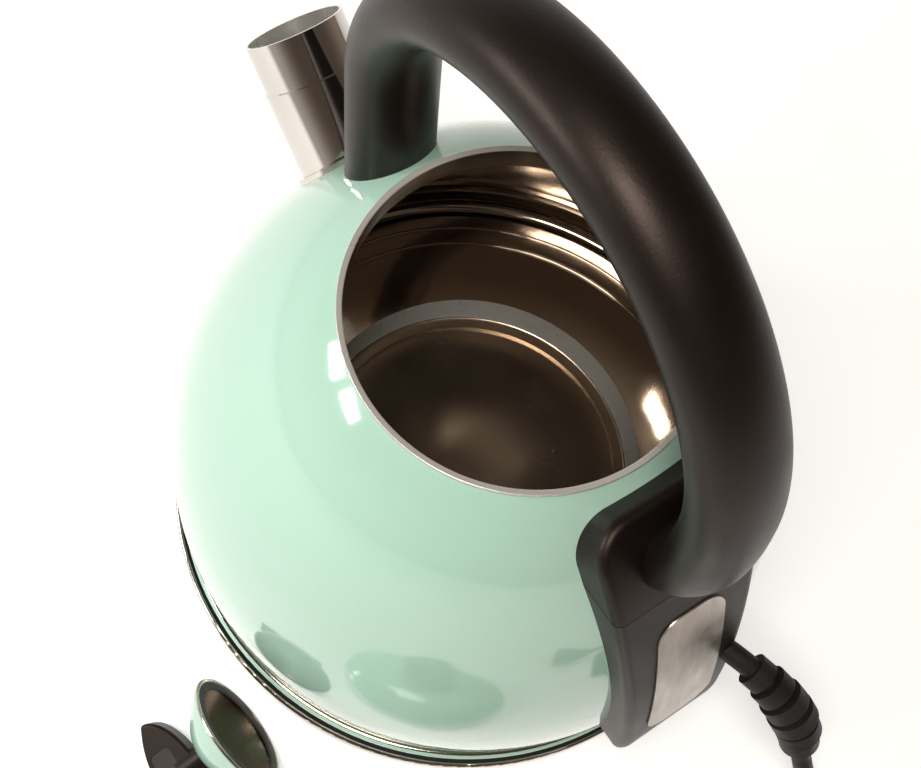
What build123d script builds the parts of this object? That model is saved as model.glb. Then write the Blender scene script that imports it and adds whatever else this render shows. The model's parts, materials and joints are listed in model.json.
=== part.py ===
"""Domed electric kettle with an open mouth, a lift-off lid and a loose whistle cap.

Millimetres, +Z up. The origin is the centre of the base on the table. The spout
points to -X and the rear housing with its cord to +X, so XZ is the plane of symmetry.
"""

import os
from math import acos, asin, atan2, cos, degrees, pi, radians, sin, sqrt, tan

from build123d import *

os.makedirs("parts", exist_ok=True)

# Body: a long side arc that runs into a tighter shoulder arc, revolved about Z
widest_radius = 100.8
widest_height = 50.8
side_arc_radius = 148.0
shoulder_radius = 73.9
dome_height = 167.5
mouth_radius = 53.0
body_wall = 1.2
body_bottom = 9.4
bead_radius = 1.8

# Mouth collar
collar_wall = 0.9
collar_depth = 8.0
collar_lip = 0.8
collar_gap = 0.2

# Base ring, base cover and feet
ring_radius = 100.6
ring_bottom = 2.6
ring_width = 5.6
ring_drop = 1.2
ring_lip = 1.3
groove_depth = 3.0
groove_height = 3.4
cover_thickness = 2.4
cover_gap = 0.3
rib_height = 3.0
rib_width = 1.6
foot_radius = 8.0
foot_circle = 80.0
foot_stem_radius = 3.0
foot_count = 4

# Floor of the water space
floor_height = 37.0
floor_thickness = 1.5
floor_corner = 6.0
floor_flange = 9.0
floor_gap = 0.2
recess_top_radius = 58.6
recess_bottom_radius = 55.2
recess_depth = 9.0
recess_lip = 4.0
bead_groove_radii = (80.9, 87.0)
bead_groove_size = 0.8

# Heater under the floor
heater_thickness = 2.6
heater_radius = 54.4
element_radius = 42.0
element_tube = 3.6
element_gap_angle = 50.0
tail_radius = 2.4
tail_length = 6.0
limiter_radius = 12.0
limiter_height = 7.0
limiter_tab = 5.0
stud_radius = 4.0
stud_circle = 70.0
stud_count = 3
screw_radius = 1.6
screw_head_radius = 3.4
screw_head_height = 1.8
block_length = 15.0
block_width = 24.0
block_height = 8.0
block_inset = 23.6
lead_radius = 1.0
lead_spacing = 2.1
lead_y = 9.0
lead_hole_radius = 2.3
lead_hole_gap = 0.1
lead_stand = 4.0
lead_drop = 9.0

# Spout
spout_x = -91.0
spout_drop = 47.5
spout_pitch = 37.0
spout_length = 36.0
spout_radius = 16.1
spout_wall = 1.0
spout_seat_length = 15.0
spout_seat_step = 0.4
spout_flange = 2.0
spout_flange_height = 1.6

# Handle: an oval section along tangent arcs in the XZ plane, its points given from the dome's top
handle_half_width = 14.6
handle_half_depth = 11.0
leg_foot = (-64.6, dome_height - 42.5)
leg_top = (-72.5, dome_height + 20.5)
arch_front = (-46.0, dome_height + 78.5)
arch_rear = (50.0, dome_height + 74.5)
rear_top = (82.0, dome_height + 18.5)
rear_low = (83.5, dome_height - 1.5)
rear_end = (62.0, dome_height - 33.5)
front_fix_angle = 43.0
rear_fix_angle = 39.5
insert_radius = 3.0
insert_length = 10.0
insert_lift = 1.0
fixing_head_radius = 4.2
fixing_head_height = 2.4
fixing_gap = 0.2

# Rear housing
housing_top_depth = 10.0
housing_half_width_top = 26.0
housing_half_width_low = 17.0
housing_top_angle = 53.0
housing_corner = 13.0
housing_edge = 3.0
seam_drop = 31.5
seam_gap = 0.4
housing_bottom = 30.0
housing_low_corner = 10.0
face_middle = (100.5, 96.0)
face_low = (109.0, 58.0)
face_end = (107.0, 30.0)
housing_wall = 2.4
boss_radius = 4.0
boss_height = 44.0
boss_reach = 5.4
plate_half_width = 12.5
plate_top = 124.0
plate_bottom = 58.0
plate_thickness = 0.5
plate_gap = 0.15
plate_corner = 8.0

# Cord, its relief boot and plug
cord_radius = 3.3
boot_points = [
    (100.0, 16.5, 80.0),
    (110.0, 20.5, 79.0),
    (119.8, 24.3, 75.2),
    (128.3, 27.4, 68.6),
    (134.8, 29.7, 59.8),
    (139.4, 31.1, 48.8),
]
boot_core = 3.6
boot_first_rib = 14.0
boot_rib_gap = 1.5
boot_rib_radii = (5.6, 6.6, 7.4, 7.8, 7.4, 6.6)
boot_rib_length = 5.6
cord_points = [
    (139.4, 31.1, 48.8),
    (144.0, 32.5, 37.8),
    (149.0, 34.1, 27.0),
    (156.0, 36.5, 17.5),
    (164.9, 39.7, 10.1),
    (175.3, 43.5, 5.4),
    (186.7, 47.0, 4.4),
    (198.5, 49.1, 4.3),
    (210.5, 49.7, 4.3),
]
coil_centre = (210.5, 13.7)
coil_radius = 36.0
coil_floor = 1.0
coil_turns = 2.25
tail_points = [
    (246.5, 13.7, 19.2),
    (246.9, 1.7, 18.0),
    (246.6, -10.3, 15.4),
    (246.0, -22.3, 13.0),
    (246.0, -34.3, 13.0),
]
tie_width = 9.0
tie_thickness = 0.7
tie_angle = 250.0
tie_gap = 0.35
plug_length = 36.0
plug_radius = 13.0
plug_neck_radius = 5.5
plug_pin_radius = 2.4
plug_pin_length = 19.0
plug_pin_spacing = 19.0

# Whistle cap, lying on its flat grip with its mouth up towards the kettle
cap_centre_x = 33.3
cap_gap = 13.0
cap_rim_radius = 20.6
cap_rim_width = 1.4
cap_rim_height = 1.2
cap_edge_step = 0.4
cap_depth = 13.0
cap_waist_radius = 15.2
cap_waist_height = 8.0
cap_neck_radius = 6.0
cap_wall = 1.0
cap_seal_height = 1.0
cap_seal_bore = 16.4
whistle_radius = 5.2
whistle_height = 3.0
whistle_hole = 0.9
whistle_hole_circle = 3.2
cap_stud_radius = 2.0
cap_stud_length = 8.0
grip_half_width = 20.5
grip_half_depth = 3.8
grip_tip = 27.0
grip_top = 33.0
grip_belly = 10.2
grip_edge = 1.2
grip_neck = 5.0
grip_panel_width = 20.0
grip_panel_height = 8.0
grip_panel_middle = 26.4
panel_corner = 2.0
knob_inset_depth = 1.0
knob_inset_share = 0.64
knob_gap = 0.1

# Lid, standing on the table beside the kettle
lid_x = 128.0
lid_y = -132.0
lid_clearance = 0.8
lid_skirt_depth = 9.0
lid_overhang = 4.0
lid_rise = 11.0
lid_wall = 1.2
lid_seal_height = 3.0
lid_seal_width = 0.6
lid_knob_radius = 20.0
lid_knob_height = 20.0
lid_knob_neck = 8.0
lid_knob_edge = 1.4
lid_screw_length = 16.0

# Centres of the two body arcs: the shoulder lies inside the side arc and touches it
side_centre_x = widest_radius - side_arc_radius
shoulder_centre_z = dome_height - shoulder_radius
centre_rise = shoulder_centre_z - widest_height
centre_run = sqrt((side_arc_radius - shoulder_radius) ** 2 - centre_rise**2)
shoulder_centre_x = side_centre_x + centre_run
tangent_angle = degrees(atan2(centre_rise, centre_run))
seam_height = dome_height - seam_drop
rim_height = shoulder_centre_z + sqrt(shoulder_radius**2 - (mouth_radius - shoulder_centre_x) ** 2)


def side_radius(z, grow=0.0):
    """Radius of the body, thickened by grow, at a height on its side arc."""
    return side_centre_x + sqrt((side_arc_radius + grow) ** 2 - (z - widest_height) ** 2)


def shoulder_x(z, grow=0.0):
    """Radius of the body, thickened by grow, at a height on its shoulder arc."""
    return shoulder_centre_x + sqrt((shoulder_radius + grow) ** 2 - (z - shoulder_centre_z) ** 2)


def shoulder_point(angle, grow=0.0):
    """Point (x, z) of the shoulder arc, thickened by grow, at an angle above +X."""
    reach = shoulder_radius + grow
    return (
        shoulder_centre_x + reach * cos(radians(angle)),
        shoulder_centre_z + reach * sin(radians(angle)),
    )


def body_arcs(bottom, grow, end_radius):
    """Side arc and shoulder arc of the body, thickened by grow, up to a radius at the top."""
    start = degrees(asin((bottom - widest_height) / (side_arc_radius + grow)))
    finish = degrees(acos((end_radius - shoulder_centre_x) / (shoulder_radius + grow)))
    side = CenterArc(
        (side_centre_x, widest_height), side_arc_radius + grow, start, tangent_angle - start
    )
    shoulder = CenterArc(
        (shoulder_centre_x, shoulder_centre_z),
        shoulder_radius + grow,
        tangent_angle,
        finish - tangent_angle,
    )
    return side, shoulder


def save(builder, label):
    """Name a finished piece and write it."""
    builder.part.label = label
    export_step(builder.part, f"parts/{label}.step")


# Filled body, used to trim what stands on it
with BuildPart() as dome_core:
    with BuildSketch(Plane.XZ):
        with BuildLine():
            side, shoulder = body_arcs(0.0, 0.0, mouth_radius)
            Polyline(shoulder @ 1, (0, rim_height), (0, 0), side @ 0)
        make_face()
    revolve(axis=Axis.Z)

lead_hole_height = floor_height - floor_thickness - lead_hole_radius - lead_hole_gap
spout_z = dome_height - spout_drop
spout_direction = (-cos(radians(spout_pitch)), 0.0, sin(radians(spout_pitch)))
spout_plane = Plane(origin=(spout_x, 0, spout_z), x_dir=(0, 1, 0), z_dir=spout_direction)
spout_root = 2.0 * spout_radius
spout_bore = spout_radius - spout_wall


def dome_normal(angle, side):
    """Plane on the dome's shoulder, square to it, at the front (side -1) or rear (side 1)."""
    x, z = shoulder_point(angle)
    return Plane(
        origin=(side * x, 0, z),
        x_dir=(0, 1, 0),
        z_dir=(side * cos(radians(angle)), 0, sin(radians(angle))),
    )


fix_planes = [dome_normal(front_fix_angle, -1), dome_normal(rear_fix_angle, 1)]

# Body shell, with its bottom bead and the holes for spout, leads and handle screws
with BuildPart() as body_shell:
    with BuildSketch(Plane.XZ):
        with BuildLine():
            outer_side, outer_shoulder = body_arcs(body_bottom, 0.0, mouth_radius)
            inner_side, inner_shoulder = body_arcs(body_bottom, -body_wall, mouth_radius)
            Line(outer_shoulder @ 1, inner_shoulder @ 1)
            Line(inner_side @ 0, outer_side @ 0)
        make_face()
        with Locations((side_radius(body_bottom) + bead_radius, body_bottom + bead_radius)):
            Circle(bead_radius)
        with Locations((side_radius(body_bottom), body_bottom + 0.5 * bead_radius)):
            Rectangle(2 * body_wall, bead_radius)
    revolve(axis=Axis.Z)
    with BuildSketch(spout_plane.offset(-spout_root)):
        Circle(spout_bore)
    extrude(amount=spout_root + spout_length, mode=Mode.SUBTRACT)
    with BuildSketch(Plane.YZ.offset(side_radius(lead_hole_height) - 4 * body_wall)):
        with Locations((lead_y, lead_hole_height)):
            Circle(lead_hole_radius)
    extrude(amount=8 * body_wall, mode=Mode.SUBTRACT)
    for fix_plane in fix_planes:
        with BuildSketch(fix_plane.offset(-4 * body_wall)):
            Circle(screw_radius + fixing_gap)
        extrude(amount=8 * body_wall, mode=Mode.SUBTRACT)
save(body_shell, "body_shell")

# Steel collar that lines the mouth and laps over its edge
collar_outer = mouth_radius - collar_gap
collar_bore = collar_outer - collar_wall
with BuildPart() as mouth_collar:
    with BuildSketch(Plane.XZ):
        with BuildLine():
            Polyline(
                (collar_bore, rim_height - collar_depth),
                (collar_outer, rim_height - collar_depth),
                (collar_outer, rim_height + collar_gap),
                (mouth_radius + collar_lip, rim_height + collar_gap),
                (mouth_radius + collar_lip, rim_height + collar_gap + collar_wall),
                (collar_bore, rim_height + collar_gap + collar_wall),
                close=True,
            )
        make_face()
    revolve(axis=Axis.Z)
    lip_edges = mouth_collar.edges().filter_by(GeomType.CIRCLE).group_by(Axis.Z)[-1]
    fillet(lip_edges, radius=0.4 * collar_wall)
save(mouth_collar, "mouth_collar")

# Steel base ring: a rounded lip outside, and a channel that shows as a dark line under the body
ring_inner = ring_radius - ring_width
ring_top = body_bottom - ring_drop
lip_inner = ring_radius - ring_lip
neck_radius = ring_radius - groove_depth
with BuildPart() as base_ring:
    with BuildSketch(Plane.XZ):
        with BuildLine():
            Polyline(
                (ring_inner, ring_bottom),
                (ring_radius, ring_bottom),
                (ring_radius, ring_top),
                (lip_inner, ring_top),
                (lip_inner, body_bottom - groove_height),
                (neck_radius, body_bottom - groove_height),
                (neck_radius, body_bottom),
                (ring_inner, body_bottom),
                close=True,
            )
        make_face()
    revolve(axis=Axis.Z)
    lip_edges = base_ring.edges().filter_by(GeomType.CIRCLE).sort_by(SortBy.RADIUS)[-2:]
    fillet(lip_edges, radius=0.7 * ring_lip)
save(base_ring, "base_ring")

# Pressed floor: flange on the wall, two bead grooves and the step down to the heater
recess_floor = floor_height - recess_depth
pan_wall_radius = side_radius(floor_height, -body_wall) - floor_gap
pan_flange_radius = side_radius(floor_height + floor_flange, -body_wall) - floor_gap
with BuildPart() as floor_pan:
    with BuildSketch(Plane.XZ):
        with BuildLine():
            Polyline(
                (pan_flange_radius, floor_height + floor_flange),
                (pan_wall_radius, floor_height - floor_thickness),
                (recess_top_radius - floor_thickness, floor_height - floor_thickness),
                (recess_bottom_radius - floor_thickness, recess_floor),
                (recess_bottom_radius - recess_lip, recess_floor),
                (recess_bottom_radius - recess_lip, recess_floor + floor_thickness),
                (recess_bottom_radius, recess_floor + floor_thickness),
                (recess_top_radius, floor_height),
                (pan_wall_radius - floor_thickness, floor_height),
                (pan_flange_radius - floor_thickness, floor_height + floor_flange),
                close=True,
            )
        make_face()
    revolve(axis=Axis.Z)
    inner_corner = floor_pan.edges().filter_by(GeomType.CIRCLE).filter_by_position(
        Axis.Z, floor_height - 0.01, floor_height + 0.01
    )
    fillet(inner_corner.sort_by(SortBy.RADIUS)[-1], radius=floor_corner)
    with BuildSketch(Plane.XZ):
        for groove_radius in bead_groove_radii:
            with Locations((groove_radius, floor_height)):
                Circle(bead_groove_size)
    revolve(axis=Axis.Z, mode=Mode.SUBTRACT)
save(floor_pan, "floor_pan")

# Heater plate under the lip of the recess
heater_top = recess_floor
heater_bottom = heater_top - heater_thickness
with BuildPart() as heater_plate:
    with BuildSketch(Plane.XY.offset(heater_bottom)):
        Circle(heater_radius)
    extrude(amount=heater_thickness)
    fillet(heater_plate.edges().group_by(Axis.Z)[0], radius=0.3 * heater_thickness)
save(heater_plate, "heater_plate")

# Sheathed element, a loop with two tails that point down
element_z = heater_bottom - element_tube
element_start = 0.5 * element_gap_angle
with BuildPart() as heating_element:
    with BuildLine() as element_line:
        element_arc = CenterArc(
            (0, 0, element_z), element_radius, element_start, 360 - element_gap_angle
        )
    with BuildSketch(Plane(origin=element_arc @ 0, z_dir=element_arc % 0)):
        Circle(element_tube)
    sweep(path=element_line.wires()[0])
    for end in (0, 1):
        with BuildSketch(Plane(origin=element_arc @ end)):
            Circle(tail_radius)
        extrude(amount=-(element_tube + tail_length))
save(heating_element, "heating_element")

# Disc limiter pressed to the middle of the heater
with BuildPart() as heat_limiter:
    with BuildSketch(Plane.XY.offset(heater_bottom)):
        Circle(limiter_radius)
    extrude(amount=-limiter_height)
    fillet(heat_limiter.edges().group_by(Axis.Z)[0], radius=0.2 * limiter_height)
    with BuildSketch(Plane.XY.offset(heater_bottom - limiter_height)):
        with GridLocations(0, limiter_radius, 1, 2):
            Rectangle(limiter_tab, 0.2 * limiter_tab)
    extrude(amount=-limiter_tab)
save(heat_limiter, "heat_limiter")

# Base cover with stiffening ribs, and holes for the feet and screws
cover_bottom = ring_bottom
cover_top = cover_bottom + cover_thickness
cover_radius = ring_inner - cover_gap
foot_angle = 360.0 / foot_count
stud_angle = 360.0 / stud_count
with BuildPart() as base_cover:
    with BuildSketch(Plane.XY.offset(cover_bottom)):
        Circle(cover_radius)
    extrude(amount=cover_thickness)
    with BuildSketch(Plane.XY.offset(cover_top)):
        Circle(cover_radius)
        Circle(cover_radius - rib_width, mode=Mode.SUBTRACT)
        Circle(0.5 * foot_circle)
        Circle(0.5 * foot_circle - rib_width, mode=Mode.SUBTRACT)
    extrude(amount=rib_height)
    with BuildSketch(Plane.XY.offset(cover_bottom)):
        with PolarLocations(foot_circle, foot_count, start_angle=0.5 * foot_angle):
            Circle(foot_stem_radius)
        with PolarLocations(stud_circle, stud_count, start_angle=0.5 * stud_angle):
            Circle(screw_radius + cover_gap)
    extrude(amount=cover_thickness, mode=Mode.SUBTRACT)
    with BuildSketch(Plane.XY.offset(cover_bottom)):
        with PolarLocations(stud_circle, stud_count, start_angle=0.5 * stud_angle):
            Circle(screw_head_radius + cover_gap)
    extrude(amount=0.5 * cover_thickness, mode=Mode.SUBTRACT)
save(base_cover, "base_cover")

# Rubber feet, each with a stem in the cover
for index in range(foot_count):
    turn = radians((index + 0.5) * foot_angle)
    place = (foot_circle * cos(turn), foot_circle * sin(turn), 0)
    with BuildPart() as foot:
        with BuildSketch(Plane(origin=place)):
            Circle(foot_radius)
        extrude(amount=cover_bottom)
        fillet(foot.edges().group_by(Axis.Z)[0], radius=0.4 * cover_bottom)
        with BuildSketch(Plane(origin=place).offset(cover_bottom)):
            Circle(foot_stem_radius)
        extrude(amount=cover_thickness)
    save(foot, f"foot_{index + 1}")

# Stand-offs under the floor that the base screws go into
stud_top = floor_height - floor_thickness
with BuildPart() as base_studs:
    with BuildSketch(Plane.XY.offset(cover_top)):
        with PolarLocations(stud_circle, stud_count, start_angle=0.5 * stud_angle):
            Circle(stud_radius)
            Circle(screw_radius, mode=Mode.SUBTRACT)
    extrude(amount=stud_top - cover_top)
save(base_studs, "base_studs")

screw_seat = cover_bottom + 0.5 * cover_thickness
screw_length = 0.5 * cover_thickness + 4 * screw_radius
with BuildPart() as base_screws:
    with BuildSketch(Plane.XY.offset(screw_seat)):
        with PolarLocations(stud_circle, stud_count, start_angle=0.5 * stud_angle):
            Circle(screw_head_radius)
    extrude(amount=-screw_head_height)
    with BuildSketch(Plane.XY.offset(screw_seat)):
        with PolarLocations(stud_circle, stud_count, start_angle=0.5 * stud_angle):
            Circle(screw_radius)
    extrude(amount=screw_length)
save(base_screws, "base_screws")

# Terminal block on the base cover
block_x = ring_radius - block_inset
with BuildPart() as terminal_block:
    with BuildSketch(Plane.XY.offset(cover_top)):
        with Locations((block_x, 0)):
            RectangleRounded(block_length, block_width, 0.1 * block_length)
    extrude(amount=block_height)
    with BuildSketch(Plane.XY.offset(cover_top + block_height)):
        with Locations((block_x, 0)):
            with GridLocations(0, block_width / 3, 1, 3):
                Circle(2 * screw_radius)
    extrude(amount=-0.3 * block_height, mode=Mode.SUBTRACT)
save(terminal_block, "terminal_block")

# Spout tube, standing on the dome, with a fine sloped step where the cap stops
spout_foot_radius = spout_radius + spout_seat_step
spout_step_height = spout_length - spout_seat_length - spout_seat_step
with BuildPart() as spout_tube:
    with BuildSketch(spout_plane.offset(-spout_root)):
        Circle(spout_foot_radius)
    extrude(amount=spout_root + spout_step_height)
    with BuildSketch(spout_plane.offset(spout_step_height)):
        Circle(spout_foot_radius)
    extrude(amount=spout_seat_step, taper=45)
    with BuildSketch(spout_plane.offset(spout_step_height + spout_seat_step)):
        Circle(spout_radius)
    extrude(amount=spout_seat_length)
    with BuildSketch(spout_plane.offset(-spout_root)):
        Circle(spout_bore)
    extrude(amount=spout_root + spout_length, mode=Mode.SUBTRACT)
    add(dome_core.part, mode=Mode.SUBTRACT)
save(spout_tube, "spout_tube")

# Flange at the spout's foot
with BuildPart() as spout_flange_ring:
    with BuildSketch(Plane.XZ):
        with BuildLine():
            side, shoulder = body_arcs(0.0, spout_flange_height, mouth_radius)
            Polyline(shoulder @ 1, (0, (shoulder @ 1).Y), (0, 0), side @ 0)
        make_face()
    revolve(axis=Axis.Z)
    add(dome_core.part, mode=Mode.SUBTRACT)
    with BuildSketch(spout_plane.offset(-spout_root)):
        Circle(spout_foot_radius + spout_flange)
        Circle(spout_foot_radius, mode=Mode.SUBTRACT)
    extrude(amount=spout_root + spout_length, mode=Mode.INTERSECT)
save(spout_flange_ring, "spout_flange")

# Handle: one oval bar from the front of the dome over the mouth to its rear shoulder
with BuildPart() as handle_bar:
    with BuildLine(Plane.XZ) as handle_line:
        leg = Line(leg_foot, leg_top)
        front = TangentArc(leg_top, arch_front, tangent=leg % 1)
        top = TangentArc(arch_front, arch_rear, tangent=front % 1)
        rear = TangentArc(arch_rear, rear_top, tangent=top % 1)
        drop = TangentArc(rear_top, rear_low, tangent=rear % 1)
        curl = TangentArc(rear_low, rear_end, tangent=drop % 1)
    handle_path = handle_line.wires()[0]
    with BuildSketch(Plane(origin=handle_path @ 0, x_dir=(0, 1, 0), z_dir=handle_path % 0)):
        Ellipse(handle_half_width, handle_half_depth)
    sweep(path=handle_path)

with BuildPart() as handle:
    add(handle_bar.part)
    add(dome_core.part, mode=Mode.SUBTRACT)
    for fix_plane in fix_planes:
        with BuildSketch(fix_plane.offset(-insert_lift)):
            Circle(insert_radius)
        extrude(amount=2 * insert_lift + insert_length, mode=Mode.SUBTRACT)
save(handle, "handle")

# Brass inserts in the ends of the handle, and the screws that reach them through the dome
with BuildPart() as handle_inserts:
    for fix_plane in fix_planes:
        with BuildSketch(fix_plane.offset(insert_lift)):
            Circle(insert_radius)
            Circle(screw_radius, mode=Mode.SUBTRACT)
        extrude(amount=insert_length)
save(handle_inserts, "handle_inserts")

screw_reach = body_wall + fixing_gap
with BuildPart() as handle_screws:
    for fix_plane in fix_planes:
        with BuildSketch(fix_plane.offset(-screw_reach)):
            Circle(fixing_head_radius)
        extrude(amount=-fixing_head_height)
        with BuildSketch(fix_plane.offset(-screw_reach)):
            Circle(screw_radius)
        extrude(amount=screw_reach + insert_lift + 0.8 * insert_length)
save(handle_screws, "handle_screws")

# Saddle cap round the rear end of the handle, cut square at the seam
seam_half = 0.5 * seam_gap
cap_seam = seam_height + seam_half
cover_seam = seam_height - seam_half
cap_seam_angle = degrees(asin((cap_seam - shoulder_centre_z) / (shoulder_radius + housing_top_depth)))
with BuildPart() as rear_cap:
    with BuildSketch(Plane.XZ):
        with BuildLine():
            pad = CenterArc(
                (shoulder_centre_x, shoulder_centre_z),
                shoulder_radius + housing_top_depth,
                cap_seam_angle,
                housing_top_angle - cap_seam_angle,
            )
            cap_root = (cap_seam - shoulder_centre_z) / tan(radians(housing_top_angle))
            Polyline(pad @ 1, (shoulder_centre_x + cap_root, cap_seam), pad @ 0)
        make_face()
    extrude(amount=housing_half_width_top, both=True)
    top_face = rear_cap.faces().filter_by(GeomType.PLANE).sort_by(Axis.Z)[-1]
    top_corners = top_face.edges().filter_by(lambda edge: abs(edge.tangent_at(0.5).Y) < 0.5)
    fillet(top_corners, radius=min(housing_corner, 0.45 * pad.length))
    pad_face = rear_cap.faces().filter_by(GeomType.CYLINDER).sort_by(SortBy.AREA)[-1]
    rim = pad_face.edges().filter_by_position(Axis.Z, cap_seam + seam_gap, 2 * dome_height)
    fillet(rim, radius=housing_edge)
    add(dome_core.part, mode=Mode.SUBTRACT)
    add(handle_bar.part, mode=Mode.SUBTRACT)
save(rear_cap, "rear_cap")


def housing_block(inset):
    """Filled rear housing from the middle of the body to its face, all walls set in by inset."""
    low = housing_bottom + inset
    high = cover_seam - inset
    with BuildPart() as block:
        with BuildSketch(Plane.XZ):
            with BuildLine():
                top_x = shoulder_x(seam_height, housing_top_depth)
                upper = ThreePointArc((top_x, cover_seam), face_middle, face_low)
                lower = TangentArc(face_low, face_end, tangent=upper % 1)
                Polyline(
                    lower @ 1,
                    (shoulder_centre_x, face_end[1]),
                    (shoulder_centre_x, cover_seam),
                    upper @ 0,
                )
            make_face()
        extrude(amount=housing_half_width_top, both=True)
    with BuildPart() as outlined:
        with Locations((-inset, 0, 0)):
            add(block.part)
        with BuildSketch(Plane.YZ) as outline:
            with BuildLine():
                Polyline(
                    (housing_half_width_top - inset, high),
                    (housing_half_width_low - inset, low),
                    (inset - housing_half_width_low, low),
                    (inset - housing_half_width_top, high),
                    close=True,
                )
            make_face()
            fillet(outline.vertices().group_by(Axis.Y)[0], radius=housing_low_corner - inset)
        extrude(amount=2 * widest_radius, mode=Mode.INTERSECT)
    return outlined.part


# Rear cover: it hugs the side of the body, narrows downwards and has room inside for the leads
exit_direction = Vector(*boot_points[1]) - Vector(*boot_points[0])
exit_plane = Plane(origin=boot_points[0], z_dir=exit_direction.normalized())
boss_foot = side_radius(boss_height)
boss_top = boss_foot + boss_reach
cover_screw_seat = boss_top + 0.7 * housing_wall
lead_hole_face = side_radius(lead_hole_height) - 4 * body_wall
with BuildPart() as rear_cover:
    add(housing_block(0.0))
    face_edges = rear_cover.faces().filter_by(GeomType.CYLINDER).filter_by(
        lambda face: face.center().X > face_middle[0] - housing_top_depth
        and abs(face.normal_at().Y) < 0.1
    ).edges()
    rim = face_edges.filter_by(
        lambda edge: abs(edge.tangent_at(0.5).Y) < 0.99 or edge.center().Z < face_end[1] + 1
    )
    fillet(rim, radius=housing_edge)
    add(housing_block(housing_wall), mode=Mode.SUBTRACT)
    add(dome_core.part, mode=Mode.SUBTRACT)
    add(handle_bar.part, mode=Mode.SUBTRACT)
    with BuildSketch(exit_plane):
        Circle(boot_core + knob_gap)
    extrude(amount=3 * housing_top_depth, mode=Mode.SUBTRACT)
    with BuildSketch(Plane.YZ.offset(boss_top)):
        with Locations((0, boss_height)):
            Circle(screw_radius + fixing_gap)
    extrude(amount=3 * housing_wall, mode=Mode.SUBTRACT)
    with BuildSketch(Plane.YZ.offset(cover_screw_seat)):
        with Locations((0, boss_height)):
            Circle(screw_head_radius + fixing_gap)
    extrude(amount=3 * housing_wall, mode=Mode.SUBTRACT)
    with BuildSketch(Plane.YZ.offset(lead_hole_face)):
        with Locations((lead_y, lead_hole_height)):
            Circle(lead_hole_radius)
    extrude(amount=4 * body_wall + housing_wall, mode=Mode.SUBTRACT)
save(rear_cover, "rear_cover")

# Boss on the body wall and the screw that holds the cover to it
with BuildPart() as cover_boss:
    with BuildSketch(Plane.YZ.offset(boss_foot - 2 * body_wall)):
        with Locations((0, boss_height)):
            Circle(boss_radius)
    extrude(amount=boss_reach + 2 * body_wall)
    add(dome_core.part, mode=Mode.SUBTRACT)
    with BuildSketch(Plane.YZ.offset(boss_top)):
        with Locations((0, boss_height)):
            Circle(screw_radius)
    extrude(amount=-0.8 * boss_reach, mode=Mode.SUBTRACT)
save(cover_boss, "cover_boss")

with BuildPart() as cover_screw:
    with BuildSketch(Plane.YZ.offset(cover_screw_seat)):
        with Locations((0, boss_height)):
            Circle(screw_head_radius)
    extrude(amount=screw_head_height)
    with BuildSketch(Plane.YZ.offset(cover_screw_seat)):
        with Locations((0, boss_height)):
            Circle(screw_radius)
    extrude(amount=-(0.7 * housing_wall + 0.6 * boss_reach))
save(cover_screw, "cover_screw")

# Bare rating plate on the face of the cover
with BuildPart() as rating_plate:
    with Locations((plate_gap + plate_thickness, 0, 0)):
        add(housing_block(0.0))
    with BuildSketch(Plane.YZ):
        with Locations((0, 0.5 * (plate_top + plate_bottom))):
            RectangleRounded(2 * plate_half_width, plate_top - plate_bottom, plate_corner)
    extrude(amount=2 * widest_radius, mode=Mode.INTERSECT)
    with Locations((plate_gap, 0, 0)):
        add(housing_block(0.0), mode=Mode.SUBTRACT)
save(rating_plate, "rating_plate")


def corner_radii(points):
    """Bend radius at each inner point of a route, from its shorter run and its turn."""
    radii = []
    for before, here, after in zip(points, points[1:], points[2:]):
        run_in = Vector(*here) - Vector(*before)
        run_out = Vector(*after) - Vector(*here)
        turn = radians(run_in.get_angle(run_out))
        radii.append(0.45 * min(run_in.length, run_out.length) / tan(0.5 * turn))
    return radii


def tube(points, radius):
    """Round tube along straight runs and tangent arcs."""
    radii = corner_radii(points)
    with BuildPart() as built:
        with BuildLine() as route:
            FilletPolyline(*points, radius=radii)
        wire = route.wires()[0]
        with BuildSketch(Plane(origin=wire @ 0, z_dir=wire % 0)):
            Circle(radius)
        sweep(path=wire)
    share = built.part.volume / (pi * radius**2 * wire.length)
    print("tube radii", [round(value, 1) for value in radii])
    print("tube length", round(wire.length, 1), "volume ratio", round(share, 4))
    return built.part, wire


# Ribbed relief boot: a core along the bend, with short stepped ribs
boot_sweep, boot_wire = tube(boot_points, boot_core)
with BuildPart() as relief_boot:
    add(boot_sweep)
    for index, rib_radius in enumerate(boot_rib_radii):
        place = boot_first_rib + index * (boot_rib_length + boot_rib_gap)
        share = place / boot_wire.length
        with BuildSketch(Plane(origin=boot_wire @ share, z_dir=boot_wire % share)):
            Circle(rib_radius)
        extrude(amount=boot_rib_length)
save(relief_boot, "relief_boot")

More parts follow.
